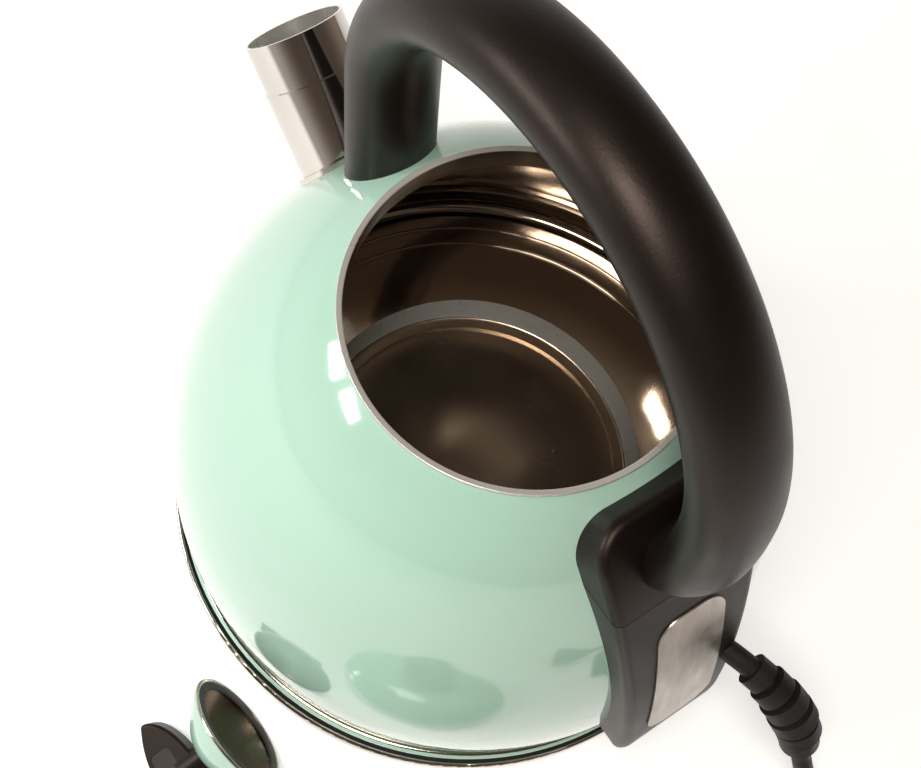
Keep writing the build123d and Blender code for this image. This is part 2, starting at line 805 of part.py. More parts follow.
# Leads inside: from the cord's end down to the terminal block, and from there to the element
block_top = cover_top + block_height
tail_bottom = element_z - element_tube - tail_length
lead_bend = boot_points[0][2] - lead_drop
lead_turn = lead_hole_height + 1.6 * lead_drop
with BuildPart() as inner_leads:
    for side in (-1, 1):
        lane = lead_y - 0.5 * side * lead_spacing
        landing = (0.5 - 0.5 * side) * block_width / 3
        supply, supply_wire = tube(
            [
                (boot_points[0][0], boot_points[0][1], boot_points[0][2] + 0.75 * side * lead_spacing),
                (side_radius(lead_bend) + 0.6 * lead_stand, lane, lead_bend + side),
                (side_radius(lead_turn) + lead_stand, lane, lead_turn),
                (side_radius(lead_hole_height) + lead_stand, lane, lead_hole_height),
                (block_x + 0.8 * block_length, lane, lead_hole_height - 0.2 * lead_stand),
                (block_x + 2 * lead_radius, landing, lead_hole_height - lead_drop),
                (block_x, landing, block_top - 0.28 * block_height),
            ],
            lead_radius,
        )
        add(supply)
        tail_turn = radians(0.5 * element_gap_angle)
        tail_x = element_radius * cos(tail_turn)
        tail_y = element_radius * sin(tail_turn)
        block_face = block_x - 0.5 * block_length - knob_gap
        element_lead, element_wire = tube(
            [
                (block_face, 0.25 * side * block_width, cover_top + 0.56 * block_height),
                (0.5 * (block_face + tail_x), 0.45 * side * block_width, cover_top + 0.65 * block_height),
                (tail_x + tail_length, side * (tail_y - tail_radius), cover_top + 0.58 * block_height),
                (tail_x, side * tail_y, tail_bottom - knob_gap),
            ],
            lead_radius,
        )
        add(element_lead)
    for neighbour in (relief_boot, terminal_block, heating_element):
        add(neighbour.part, mode=Mode.SUBTRACT)
save(inner_leads, "inner_leads")

# Cord coil as one closed ring, the cord that runs into it and the tail out of it
coil_top = coil_floor + 2 * cord_radius * (coil_turns + 1)
with BuildPart() as cord_coil:
    with BuildSketch(Plane(origin=(coil_centre[0], coil_centre[1], coil_floor))):
        Circle(coil_radius + cord_radius)
        Circle(coil_radius - cord_radius, mode=Mode.SUBTRACT)
    extrude(amount=coil_top - coil_floor)
save(cord_coil, "cord_coil")

cord_sweep, cord_wire = tube(cord_points, cord_radius)
with BuildPart() as cord:
    add(cord_sweep)
save(cord, "cord")

tail_sweep, tail_wire = tube(tail_points, cord_radius)
with BuildPart() as cord_tail:
    add(tail_sweep)
save(cord_tail, "cord_tail")

lead_length = boot_wire.length + cord_wire.length + coil_turns * 2 * pi * coil_radius + tail_wire.length
print("lead length", round(lead_length, 1))

# Band that ties the coil
tie_turn = radians(tie_angle)
tie_place = Plane(
    origin=(
        coil_centre[0] + coil_radius * cos(tie_turn),
        coil_centre[1] + coil_radius * sin(tie_turn),
        0.5 * (coil_floor + coil_top),
    ),
    x_dir=(cos(tie_turn), sin(tie_turn), 0),
    z_dir=(-sin(tie_turn), cos(tie_turn), 0),
)
tie_inner = (2 * (cord_radius + tie_gap), coil_top - coil_floor)
with BuildPart() as cord_tie:
    with BuildSketch(tie_place.offset(-0.5 * tie_width)):
        Rectangle(tie_inner[0] + 2 * tie_thickness, tie_inner[1] + 2 * tie_thickness)
        Rectangle(tie_inner[0], tie_inner[1], mode=Mode.SUBTRACT)
    extrude(amount=tie_width)
save(cord_tie, "cord_tie")

# Round two-pin plug lying on the table
plug_start = Vector(*tail_points[-1])
plug_sheet = Plane(origin=plug_start, x_dir=(1, 0, 0), z_dir=(0, 0, -1))
plug_axis = Axis(plug_start, (0, -1, 0))
with BuildPart() as plug_body:
    with BuildSketch(plug_sheet):
        with BuildLine():
            Polyline(
                (0, 0),
                (plug_neck_radius, 0),
                (plug_neck_radius, 0.2 * plug_length),
                (plug_radius, 0.6 * plug_length),
                (plug_radius, plug_length),
                (0, plug_length),
                close=True,
            )
        make_face()
    revolve(axis=plug_axis)
    plug_rims = plug_body.edges().filter_by(GeomType.CIRCLE).sort_by(SortBy.RADIUS)[-2:]
    fillet(plug_rims, radius=0.15 * plug_radius)
save(plug_body, "plug_body")

plug_face = Plane(origin=plug_start + Vector(0, -plug_length, 0), x_dir=(1, 0, 0), z_dir=(0, -1, 0))
with BuildPart() as plug_pins:
    with BuildSketch(plug_face):
        with GridLocations(plug_pin_spacing, 0, 2, 1):
            Circle(plug_pin_radius)
    extrude(amount=plug_pin_length)
    fillet(plug_pins.edges().group_by(Axis.Y)[0], radius=0.6 * plug_pin_radius)
save(plug_pins, "plug_pins")

# Whistle cap: its rim and the rounded end of its grip both touch the table, which sets its lean
rim_rounding = 0.3 * cap_rim_height
contact_run = grip_top - grip_edge - cap_rim_height + rim_rounding
contact_drop = cap_rim_radius - rim_rounding - grip_half_depth + grip_edge
contact_span = sqrt(contact_run**2 + contact_drop**2)
cap_lean = acos((grip_edge - rim_rounding) / contact_span) - atan2(contact_run, contact_drop)
mouth_height = (
    rim_rounding
    + (cap_rim_height - rim_rounding) * sin(cap_lean)
    + (cap_rim_radius - rim_rounding) * cos(cap_lean)
)
cap_origin = (cap_centre_x, -(ring_radius + cap_gap), mouth_height)
cap_direction = (0, -cos(cap_lean), -sin(cap_lean))
cap_sheet = Plane(origin=cap_origin, x_dir=(1, 0, 0), z_dir=(0, sin(cap_lean), -cos(cap_lean)))
cap_axis = Axis(cap_origin, cap_direction)
cap_crown = cap_rim_height + cap_depth
with BuildPart() as cap_shell:
    with BuildSketch(cap_sheet):
        with BuildLine():
            bell = ThreePointArc(
                (cap_rim_radius - cap_edge_step, cap_rim_height),
                (cap_waist_radius, cap_waist_height),
                (cap_neck_radius, cap_crown),
            )
            lining = ThreePointArc(
                (cap_rim_radius - cap_edge_step - cap_wall, cap_rim_height),
                (cap_waist_radius - 0.75 * cap_wall, cap_waist_height - 0.65 * cap_wall),
                (cap_neck_radius, cap_crown - cap_wall),
            )
            Line(bell @ 0, lining @ 0)
            Polyline(
                lining @ 1,
                (cap_stud_radius, cap_crown - cap_wall),
                (cap_stud_radius, cap_crown),
                bell @ 1,
            )
        make_face()
    revolve(axis=cap_axis)
save(cap_shell, "cap_shell")

with BuildPart() as cap_rim:
    with BuildSketch(cap_sheet):
        with Locations((cap_rim_radius - 0.5 * cap_rim_width, 0.5 * cap_rim_height)):
            RectangleRounded(cap_rim_width, cap_rim_height, rim_rounding)
    revolve(axis=cap_axis)
save(cap_rim, "cap_rim")

# Soft ring inside the rim that grips the spout
seal_width = cap_rim_radius - cap_rim_width - cap_seal_bore
with BuildPart() as cap_seal:
    with BuildSketch(cap_sheet):
        with Locations((cap_seal_bore + 0.5 * seal_width, 0.5 * cap_rim_height)):
            RectangleRounded(seal_width, cap_seal_height, 0.4 * cap_seal_height)
    revolve(axis=cap_axis)
save(cap_seal, "cap_seal")

# Whistle drum with its sound holes
crown_plane = Plane(origin=cap_origin, x_dir=(1, 0, 0), z_dir=cap_direction).offset(cap_crown)
with BuildPart() as whistle_drum:
    with BuildSketch(crown_plane.offset(-cap_wall)):
        Circle(whistle_radius)
        Circle(whistle_hole, mode=Mode.SUBTRACT)
        with PolarLocations(whistle_hole_circle, 4):
            Circle(whistle_hole, mode=Mode.SUBTRACT)
    extrude(amount=-whistle_height)
    fillet(whistle_drum.edges().sort_by(SortBy.LENGTH)[-2:], radius=0.2 * whistle_height)
save(whistle_drum, "whistle_drum")

# Flat grip: rounded belly on a short neck, with a sunken panel in each broad side
with BuildPart() as cap_knob:
    with BuildSketch(cap_sheet) as grip_outline:
        with BuildLine():
            belly = EllipticalCenterArc((0, grip_tip), grip_half_width, grip_belly, 180, arc_size=180)
            ThreePointArc(belly @ 1, (0, grip_top), belly @ 0)
        make_face()
        fillet(grip_outline.vertices(), radius=grip_edge)
    extrude(amount=grip_half_depth, both=True)
    broad_sides = cap_knob.faces().filter_by(GeomType.PLANE).sort_by(SortBy.AREA)[-2:]
    fillet(broad_sides.edges(), radius=grip_edge)
    with BuildSketch(crown_plane):
        Circle(grip_neck)
    extrude(amount=0.5 * (grip_top - cap_crown))
    for side in (-1, 1):
        with BuildSketch(cap_sheet.offset(side * grip_half_depth)):
            with Locations((0, grip_panel_middle)):
                RectangleRounded(grip_panel_width, grip_panel_height, panel_corner)
        extrude(amount=-side * knob_inset_depth, mode=Mode.SUBTRACT)
    with BuildSketch(crown_plane):
        Circle(cap_stud_radius)
    extrude(amount=cap_stud_length, mode=Mode.SUBTRACT)
save(cap_knob, "cap_knob")

with BuildPart() as cap_stud:
    with BuildSketch(crown_plane.offset(-cap_wall)):
        Circle(cap_stud_radius)
    extrude(amount=cap_wall + 0.9 * cap_stud_length)
save(cap_stud, "cap_stud")

with BuildPart() as cap_inset:
    for side in (-1, 1):
        with BuildSketch(cap_sheet.offset(side * (grip_half_depth - knob_inset_depth))):
            with Locations((0, grip_panel_middle)):
                RectangleRounded(
                    grip_panel_width - 2 * knob_gap, grip_panel_height - 2 * knob_gap, panel_corner
                )
        extrude(amount=0.8 * side * knob_inset_depth)
save(cap_inset, "cap_inset")

# Lid: a steel liner with the skirt that goes into the collar, under a domed painted top
lid_sheet = Plane(origin=(lid_x, lid_y, 0), x_dir=(1, 0, 0), z_dir=(0, -1, 0))
lid_axis = Axis((lid_x, lid_y, 0), (0, 0, 1))
skirt_radius = collar_bore - lid_clearance
lid_radius = mouth_radius + lid_overhang
lid_seat = lid_skirt_depth + lid_wall
lid_crown = lid_seat + lid_rise
with BuildPart() as lid_liner:
    with BuildSketch(lid_sheet):
        with BuildLine():
            Polyline(
                (skirt_radius, 0),
                (skirt_radius, lid_skirt_depth),
                (lid_radius - lid_wall, lid_skirt_depth),
                (lid_radius - lid_wall, lid_seat),
                (screw_radius + fixing_gap, lid_seat),
                (screw_radius + fixing_gap, lid_skirt_depth),
                (skirt_radius - lid_wall, lid_skirt_depth),
                (skirt_radius - lid_wall, 0),
                close=True,
            )
        make_face()
    revolve(axis=lid_axis)
save(lid_liner, "lid_liner")

with BuildPart() as lid_shell:
    with BuildSketch(lid_sheet):
        with BuildLine():
            roof = ThreePointArc(
                (lid_radius, lid_seat),
                (0.7 * lid_radius, lid_seat + 0.74 * lid_rise),
                (lid_knob_neck, lid_crown),
            )
            ceiling = ThreePointArc(
                (lid_radius - lid_wall, lid_seat),
                (0.7 * lid_radius - 0.3 * lid_wall, lid_seat + 0.74 * lid_rise - lid_wall),
                (lid_knob_neck, lid_crown - lid_wall),
            )
            Line(roof @ 0, ceiling @ 0)
            Polyline(
                ceiling @ 1,
                (screw_radius + fixing_gap, lid_crown - lid_wall),
                (screw_radius + fixing_gap, lid_crown),
                roof @ 1,
            )
        make_face()
    revolve(axis=lid_axis)
save(lid_shell, "lid_shell")

with BuildPart() as lid_seal:
    with BuildSketch(Plane.XY.offset(0.4 * lid_skirt_depth)):
        with Locations((lid_x, lid_y)):
            Circle(skirt_radius + lid_seal_width)
            Circle(skirt_radius, mode=Mode.SUBTRACT)
    extrude(amount=lid_seal_height)
save(lid_seal, "lid_seal")

# Mushroom knob: flared underside, flat top with a round sinking, bored foot
knob_rim = lid_crown + lid_knob_height - 2 * lid_knob_edge
knob_top = lid_crown + lid_knob_height
sinking_radius = knob_inset_share * lid_knob_radius
with BuildPart() as lid_knob:
    with BuildSketch(lid_sheet):
        with BuildLine():
            flare = ThreePointArc(
                (lid_knob_neck, lid_crown),
                (0.5 * (lid_knob_neck + lid_knob_radius), lid_crown + 0.34 * (knob_rim - lid_crown)),
                (lid_knob_radius, knob_rim),
            )
            rounding = TangentArc(flare @ 1, (lid_knob_radius - lid_knob_edge, knob_top), tangent=(0, 1))
            Polyline(
                rounding @ 1,
                (sinking_radius, knob_top),
                (sinking_radius, knob_top - knob_inset_depth),
                (0, knob_top - knob_inset_depth),
                (0, lid_crown + lid_screw_length),
                (screw_radius, lid_crown + lid_screw_length),
                (screw_radius, lid_crown),
                flare @ 0,
            )
        make_face()
    revolve(axis=lid_axis)
save(lid_knob, "lid_knob")

with BuildPart() as lid_inset:
    with BuildSketch(Plane.XY.offset(knob_top - knob_inset_depth)):
        with Locations((lid_x, lid_y)):
            Circle(sinking_radius - knob_gap)
    extrude(amount=0.8 * knob_inset_depth)
save(lid_inset, "lid_inset")

with BuildPart() as lid_screw:
    with BuildSketch(Plane.XY.offset(lid_skirt_depth)):
        with Locations((lid_x, lid_y)):
            Circle(fixing_head_radius)
    extrude(amount=-fixing_head_height)
    with BuildSketch(Plane.XY.offset(lid_skirt_depth)):
        with Locations((lid_x, lid_y)):
            Circle(screw_radius)
    extrude(amount=lid_crown - lid_skirt_depth + 0.9 * lid_screw_length)
save(lid_screw, "lid_screw")
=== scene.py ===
"""Studio scene of a domed electric kettle: finishes, lead, stage, light and camera, in metres."""

import json
from math import cos, hypot, pi, radians, sin

import bmesh
import bpy
from mathutils import Matrix, Vector


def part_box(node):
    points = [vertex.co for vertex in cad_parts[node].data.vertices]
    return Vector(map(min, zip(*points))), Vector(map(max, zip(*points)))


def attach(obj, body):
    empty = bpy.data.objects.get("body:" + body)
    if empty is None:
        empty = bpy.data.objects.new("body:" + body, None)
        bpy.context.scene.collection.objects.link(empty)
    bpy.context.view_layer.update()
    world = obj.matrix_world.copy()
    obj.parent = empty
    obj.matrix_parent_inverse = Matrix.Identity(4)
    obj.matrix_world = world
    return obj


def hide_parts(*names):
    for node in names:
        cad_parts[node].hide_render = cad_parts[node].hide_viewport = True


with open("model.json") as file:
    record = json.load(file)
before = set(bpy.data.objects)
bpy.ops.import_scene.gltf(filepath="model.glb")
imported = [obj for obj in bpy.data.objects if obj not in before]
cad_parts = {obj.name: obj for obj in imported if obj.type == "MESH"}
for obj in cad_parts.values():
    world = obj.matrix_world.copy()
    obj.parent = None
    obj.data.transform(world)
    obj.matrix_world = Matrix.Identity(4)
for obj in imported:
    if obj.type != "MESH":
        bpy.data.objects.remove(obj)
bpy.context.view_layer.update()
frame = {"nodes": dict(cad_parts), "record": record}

nodes = frame["nodes"]
scene = bpy.context.scene
scene.view_settings.view_transform = "Standard"

# Camera, fitted to the photograph: the base's centre shows at (TARGET_X, TARGET_Y) pixels
FRAME_WIDTH = 921
FRAME_HEIGHT = 768
FOCAL_PIXELS = 1800.0
SENSOR_WIDTH = 36.0
CAMERA_AZIMUTH = radians(38.0)
CAMERA_ELEVATION = radians(67.0)
CAMERA_ROLL = radians(18.7)
CAMERA_DISTANCE = 0.6494
TARGET_X = 457.8
TARGET_Y = 490.3


def add_camera():
    """Camera at the photograph's viewing angle."""
    back = Vector((
        sin(CAMERA_AZIMUTH) * cos(CAMERA_ELEVATION),
        -cos(CAMERA_AZIMUTH) * cos(CAMERA_ELEVATION),
        sin(CAMERA_ELEVATION),
    ))
    level = Vector((cos(CAMERA_AZIMUTH), sin(CAMERA_AZIMUTH), 0))
    upright = back.cross(level)
    right = level * cos(CAMERA_ROLL) + upright * sin(CAMERA_ROLL)
    up = upright * cos(CAMERA_ROLL) - level * sin(CAMERA_ROLL)
    side = (TARGET_X - 0.5 * FRAME_WIDTH) / FOCAL_PIXELS * CAMERA_DISTANCE
    rise = (0.5 * FRAME_HEIGHT - TARGET_Y) / FOCAL_PIXELS * CAMERA_DISTANCE
    data = bpy.data.cameras.new("camera")
    data.sensor_width = SENSOR_WIDTH
    data.lens = FOCAL_PIXELS / FRAME_WIDTH * SENSOR_WIDTH
    data.clip_start = 0.01
    camera = bpy.data.objects.new("camera", data)
    turn = Matrix((right, up, back)).transposed()
    place = back * CAMERA_DISTANCE - right * side - up * rise
    camera.matrix_world = Matrix.Translation(place) @ turn.to_4x4()
    scene.collection.objects.link(camera)
    scene.camera = camera


add_camera()


# Lead: the free route, the coil and the tail to the plug
CORD_RADIUS = 0.0033
CORD_ROUTE = [
    (0.1394, 0.0311, 0.0488),
    (0.1440, 0.0325, 0.0378),
    (0.1490, 0.0341, 0.0270),
    (0.1560, 0.0365, 0.0175),
    (0.1649, 0.0397, 0.0101),
    (0.1753, 0.0435, 0.0054),
    (0.1867, 0.0470, 0.0044),
    (0.1985, 0.0491, 0.0043),
]
COIL_CENTRE = (0.2105, 0.0137)
COIL_RADIUS = 0.036
COIL_FLOOR = 0.0010
COIL_TURNS = 2.25
COIL_STEPS = 16
TAIL_ROUTE = [
    (0.2469, 0.0017, 0.0180),
    (0.2466, -0.0103, 0.0154),
    (0.2460, -0.0223, 0.0130),
    (0.2460, -0.0343, 0.0130),
]


def coil_points():
    """Turns of the coil, clockwise from its far side, each a diameter above the last."""
    hug = 0.75 + 0.25 * cos(2 * pi / COIL_STEPS)
    reach = COIL_RADIUS / hug
    count = int(COIL_TURNS * COIL_STEPS)
    points = []
    for step in range(count + 1):
        turn = step / COIL_STEPS
        angle = 0.5 * pi - 2 * pi * turn
        height = COIL_FLOOR + CORD_RADIUS * (1 + 2 * turn)
        points.append((COIL_CENTRE[0] + reach * cos(angle), COIL_CENTRE[1] + reach * sin(angle), height))
    return points


def add_cord():
    """The lead as one smooth line from the boot to the plug."""
    curve = bpy.data.curves.new("lead", "CURVE")
    curve.dimensions = "3D"
    curve.bevel_depth = 1.0
    curve.bevel_resolution = 5
    curve.resolution_u = 10
    spline = curve.splines.new("NURBS")
    route = CORD_ROUTE + coil_points() + TAIL_ROUTE
    spline.points.add(len(route) - 1)
    for point, place in zip(spline.points, route):
        point.co = (*place, 1.0)
        point.radius = CORD_RADIUS
    spline.order_u = 3
    spline.use_endpoint_u = True
    lead = bpy.data.objects.new("lead", curve)
    scene.collection.objects.link(lead)
    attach(lead, "kettle")
    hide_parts("cord", "cord_coil", "cord_tail")
    return lead


lead = add_cord()


# Heater recess: the slanted wall from the floor's edge and the lip that lies on the heater plate
STEP_TOP_RADIUS = 0.05791
STEP_TOP = 0.03549
STEP_FOOT_RADIUS = 0.0552
STEP_FOOT = 0.0295
STEP_BEND = 0.0012
STEP_BEND_PARTS = 5
STEP_LIP = 0.0040
STEP_LIP_BOTTOM = 0.02803
STEP_WALL = 0.0015
STEP_SIDES = 160
STEP_SHARP = radians(40.0)


def step_profile():
    """Section of the step: the water side from the top inwards, then the underside back out."""
    slope = Vector((STEP_TOP_RADIUS - STEP_FOOT_RADIUS, STEP_TOP - STEP_FOOT)).normalized()
    foot = Vector((STEP_FOOT_RADIUS, STEP_FOOT))
    start = foot + STEP_BEND * slope
    end = foot - Vector((STEP_BEND, 0))
    parts = [count / STEP_BEND_PARTS for count in range(STEP_BEND_PARTS + 1)]
    bend = [start.lerp(foot, part).lerp(foot.lerp(end, part), part) for part in parts]
    inner = STEP_FOOT_RADIUS - STEP_LIP
    return [
        (STEP_TOP_RADIUS, STEP_TOP),
        *[(point.x, point.y) for point in bend],
        (inner, STEP_FOOT),
        (inner, STEP_LIP_BOTTOM),
        (STEP_FOOT_RADIUS + STEP_WALL, STEP_LIP_BOTTOM),
        (STEP_TOP_RADIUS + STEP_WALL, STEP_TOP),
    ]


def add_step():
    """The step as a ring turned round the body's axis."""
    shape = bmesh.new()
    profile = step_profile()
    rings = []
    for side in range(STEP_SIDES):
        angle = 2 * pi * side / STEP_SIDES
        rings.append([shape.verts.new((r * cos(angle), r * sin(angle), z)) for r, z in profile])
    for side, ring in enumerate(rings):
        following = rings[(side + 1) % STEP_SIDES]
        for first in range(len(profile)):
            second = (first + 1) % len(profile)
            shape.faces.new((ring[first], following[first], following[second], ring[second]))
    bmesh.ops.recalc_face_normals(shape, faces=shape.faces)
    mesh = bpy.data.meshes.new("heater_step")
    shape.to_mesh(mesh)
    shape.free()
    mesh.shade_smooth()
    mesh.set_sharp_from_angle(angle=STEP_SHARP)
    step = bpy.data.objects.new("heater_step", mesh)
    scene.collection.objects.link(step)
    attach(step, "kettle")
    return step


heater_step = add_step()


class Finish:
    """A material with its main shader and short ways to add nodes to it."""

    def __init__(self, name, colour, roughness, metallic=0.0):
        self.material = bpy.data.materials.new(name)
        self.material.use_nodes = True
        self.tree = self.material.node_tree
        self.shader = self.tree.nodes["Principled BSDF"]
        self.set("Base Color", (*colour, 1.0))
        self.set("Roughness", roughness)
        self.set("Metallic", metallic)
        self.place = self.add("ShaderNodeTexCoord").outputs["Object"]

    def add(self, kind, **values):
        node = self.tree.nodes.new(kind)
        for key, value in values.items():
            setattr(node, key, value)
        return node

    def link(self, source, target):
        self.tree.links.new(source, target)

    def set(self, socket, value):
        self.shader.inputs[socket].default_value = value

    def stretch(self, scale):
        """Object coordinates stretched by a scale along each axis."""
        node = self.add("ShaderNodeMapping")
        node.inputs["Scale"].default_value = scale
        self.link(self.place, node.inputs["Vector"])
        return node.outputs["Vector"]

    def noise(self, scale, detail=3.0, place=None):
        node = self.add("ShaderNodeTexNoise")
        node.inputs["Scale"].default_value = scale
        node.inputs["Detail"].default_value = detail
        self.link(place or self.place, node.inputs["Vector"])
        return node.outputs["Fac"]

    def ramp(self, source, low, high, start=0.3, end=0.7):
        """Colour or grey that runs from low to high over a stretch of a 0 to 1 value."""
        node = self.add("ShaderNodeValToRGB")
        first, last = node.color_ramp.elements
        first.position = start
        last.position = end
        first.color = (*low, 1.0) if isinstance(low, tuple) else (low, low, low, 1.0)
        last.color = (*high, 1.0) if isinstance(high, tuple) else (high, high, high, 1.0)
        self.link(source, node.inputs["Fac"])
        return node.outputs["Color"]

    def bump(self, source, strength, distance):
        node = self.add("ShaderNodeBump")
        node.inputs["Strength"].default_value = strength
        node.inputs["Distance"].default_value = distance
        self.link(source, node.inputs["Height"])
        self.link(node.outputs["Normal"], self.shader.inputs["Normal"])

    def vary(self, socket, source, low, high, start=0.3, end=0.7):
        self.link(self.ramp(source, low, high, start, end), self.shader.inputs[socket])


def enamel():
    """Glossy mint enamel: a hint of cloud in the colour and a faint orange peel."""
    finish = Finish("mint_enamel", (0.47, 0.74, 0.61), 0.12)
    finish.vary("Base Color", finish.noise(9.0, 2.0), (0.46, 0.73, 0.60), (0.49, 0.75, 0.63))
    finish.vary("Roughness", finish.noise(40.0), 0.07, 0.12)
    finish.bump(finish.noise(260.0, 1.0), 0.03, 0.0004)
    finish.set("Coat Weight", 0.6)
    finish.set("Coat Roughness", 0.04)
    return finish.material


def drawn_steel(name, colour, low, high, grain, metallic=1.0, stain=0.85):
    """Drawn metal with fine lines round the body's axis and soft stains."""
    finish = Finish(name, colour, high, metallic)
    lines = finish.noise(grain, 2.0, finish.stretch((0.02, 0.02, 1.0)))
    stains = finish.noise(14.0, 2.0)
    darker = tuple(stain * value for value in colour)
    finish.vary("Base Color", stains, darker, colour)
    finish.vary("Roughness", finish.noise(45.0, 3.0), low, high)
    finish.bump(lines, 0.03, 0.0002)
    return finish.material


def chrome():
    """Mirror chrome with the faintest haze."""
    finish = Finish("chrome_spout", (0.62, 0.59, 0.55), 0.05, 1.0)
    finish.vary("Roughness", finish.noise(70.0), 0.03, 0.09)
    finish.vary("Base Color", finish.noise(24.0), (0.58, 0.55, 0.51), (0.66, 0.63, 0.59))
    return finish.material


def moulded_plastic(name, colour, low, high, grain=900.0):
    """Dark moulded plastic with a fine spark-eroded grain."""
    finish = Finish(name, colour, high)
    brighter = tuple(1.35 * value for value in colour)
    finish.vary("Base Color", finish.noise(18.0, 4.0), colour, brighter)
    finish.vary("Roughness", finish.noise(55.0, 5.0), low, high)
    finish.bump(finish.noise(grain, 2.0), 0.12, 0.0003)
    finish.set("Specular IOR Level", 0.34)
    # Warm specular tint: painted warm colour in every highlight, standing in for the warm room light
    finish.set("Specular Tint", (1.0, 0.80, 0.70, 1.0))
    return finish.material


def soft_rubber(name, colour):
    """Matte rubber with dust in its colour and a dull bloom."""
    finish = Finish(name, colour, 0.6)
    paler = tuple(1.6 * value + 0.004 for value in colour)
    finish.vary("Base Color", finish.noise(90.0, 5.0), colour, paler)
    finish.vary("Roughness", finish.noise(140.0, 3.0), 0.45, 0.7)
    finish.bump(finish.noise(1400.0, 2.0), 0.1, 0.0002)
    finish.set("Specular IOR Level", 0.28)
    return finish.material


def plate_metal():
    """Satin aluminium with a fine vertical brushing."""
    finish = Finish("plate_aluminium", (0.50, 0.45, 0.40), 0.35, 1.0)
    lines = finish.noise(300.0, 4.0, finish.stretch((1.0, 1.0, 0.03)))
    finish.vary("Base Color", lines, (0.42, 0.37, 0.32), (0.54, 0.49, 0.44))
    finish.vary("Roughness", finish.noise(80.0), 0.28, 0.42)
    finish.bump(lines, 0.05, 0.0002)
    return finish.material


FINISHES = {
    "mint_enamel": enamel(),
    "polished_steel": drawn_steel("polished_steel", (0.62, 0.58, 0.53), 0.10, 0.22, 700.0),
    "inner_steel": drawn_steel("inner_steel", (0.54, 0.46, 0.38), 0.06, 0.12, 500.0),
    # Steel for the cap's inside darkened to brown: painted dark reflection of the room
    "cap_steel_painted_dark": drawn_steel("cap_steel_painted_dark", (0.20, 0.155, 0.115), 0.20, 0.32, 500.0),
    "satin_steel": drawn_steel("satin_steel", (0.78, 0.77, 0.73), 0.20, 0.30, 400.0, 0.85),
    "step_steel": drawn_steel("step_steel", (0.80, 0.82, 0.79), 0.24, 0.34, 400.0, 0.62),
    "rim_steel": drawn_steel("rim_steel", (0.74, 0.72, 0.68), 0.24, 0.36, 400.0, 0.5),
    # Near-black finish for the steel ring's channel faces: painted shade of the gap between ring and
    # body
    "channel_painted_shade": soft_rubber("channel_painted_shade", (0.010, 0.009, 0.008)),
    "heater_aluminium": drawn_steel("heater_aluminium", (0.40, 0.32, 0.24), 0.24, 0.28, 900.0),
    "chrome_spout": chrome(),
    "black_plastic": moulded_plastic("black_plastic", (0.005, 0.0036, 0.0031), 0.36, 0.44),
    "knob_inset": moulded_plastic("knob_inset", (0.035, 0.034, 0.033), 0.5, 0.65),
    "plate_aluminium": plate_metal(),
    "element_steel": drawn_steel("element_steel", (0.30, 0.29, 0.28), 0.3, 0.45, 500.0),
    "limiter_plastic": moulded_plastic("limiter_plastic", (0.55, 0.52, 0.46), 0.4, 0.55),
    "base_plastic": moulded_plastic("base_plastic", (0.03, 0.03, 0.03), 0.45, 0.6),
    "fastener_steel": drawn_steel("fastener_steel", (0.55, 0.55, 0.56), 0.22, 0.36, 600.0),
    "brass": drawn_steel("brass", (0.70, 0.52, 0.24), 0.2, 0.32, 600.0),
    "seal_rubber": soft_rubber("seal_rubber", (0.05, 0.05, 0.05)),
    "cord_rubber": soft_rubber("cord_rubber", (0.012, 0.011, 0.011)),
    "tie_plastic": moulded_plastic("tie_plastic", (0.03, 0.03, 0.03), 0.4, 0.5),
    "lead_rubber": soft_rubber("lead_rubber", (0.45, 0.12, 0.08)),
    "foot_rubber": soft_rubber("foot_rubber", (0.03, 0.03, 0.03)),
}


def dress(piece, slot):
    """Give a piece one finish."""
    piece.data.materials.clear()
    piece.data.materials.append(FINISHES[slot])


def dress_faces(piece, finish, chosen):
    """Give a second finish to the faces of a piece that a test picks."""
    piece.data.materials.append(FINISHES[finish])
    for face in piece.data.polygons:
        if chosen(face):
            face.material_index = 1


# Places that take a second finish: inside the body, cap and spout, step, mouth's hem, ring's channel;
# the cap's inside carries a painted dark reflection and the ring's channel painted shade
RING_LIP_INNER = 0.0994
RING_CHANNEL_FLOOR = 0.0055
STEP_EDGE = 0.0586
BODY_MIDDLE = Vector((0, 0, 0.08))
SPOUT_FOOT = Vector((-0.091, 0, 0.120))
SPOUT_AXIS = Vector((-cos(radians(37.0)), 0, sin(radians(37.0))))
SPOUT_MIDDLE_RADIUS = 0.0156
cap_low, cap_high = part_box("cap_rim")
CAP_MOUTH = 0.5 * (Vector(cap_low) + Vector(cap_high))
RIM_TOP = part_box("mouth_collar")[1][2]
RIM_HEM = 0.0016


def looks_at(point):
    """Test for faces on the inside of a hollow, which look towards a point in it."""
    return lambda face: face.normal.dot(point - face.center) > 0


def in_channel(face):
    """Test for the faces of the base ring's channel, behind its lip."""
    return hypot(face.center.x, face.center.y) < RING_LIP_INNER and face.center.z > RING_CHANNEL_FLOOR


def on_step(face):
    """Test for the slanted wall between the floor and the heater's recess."""
    return hypot(face.center.x, face.center.y) < STEP_EDGE and 0.05 < face.normal.z < 0.8


def on_rim(face):
    """Test for the hem round the top of the mouth."""
    return face.center.z > RIM_TOP - RIM_HEM


def in_spout(face):
    """Test for the faces of the spout's bore."""
    reach = face.center - SPOUT_FOOT
    return (reach - reach.dot(SPOUT_AXIS) * SPOUT_AXIS).length < SPOUT_MIDDLE_RADIUS


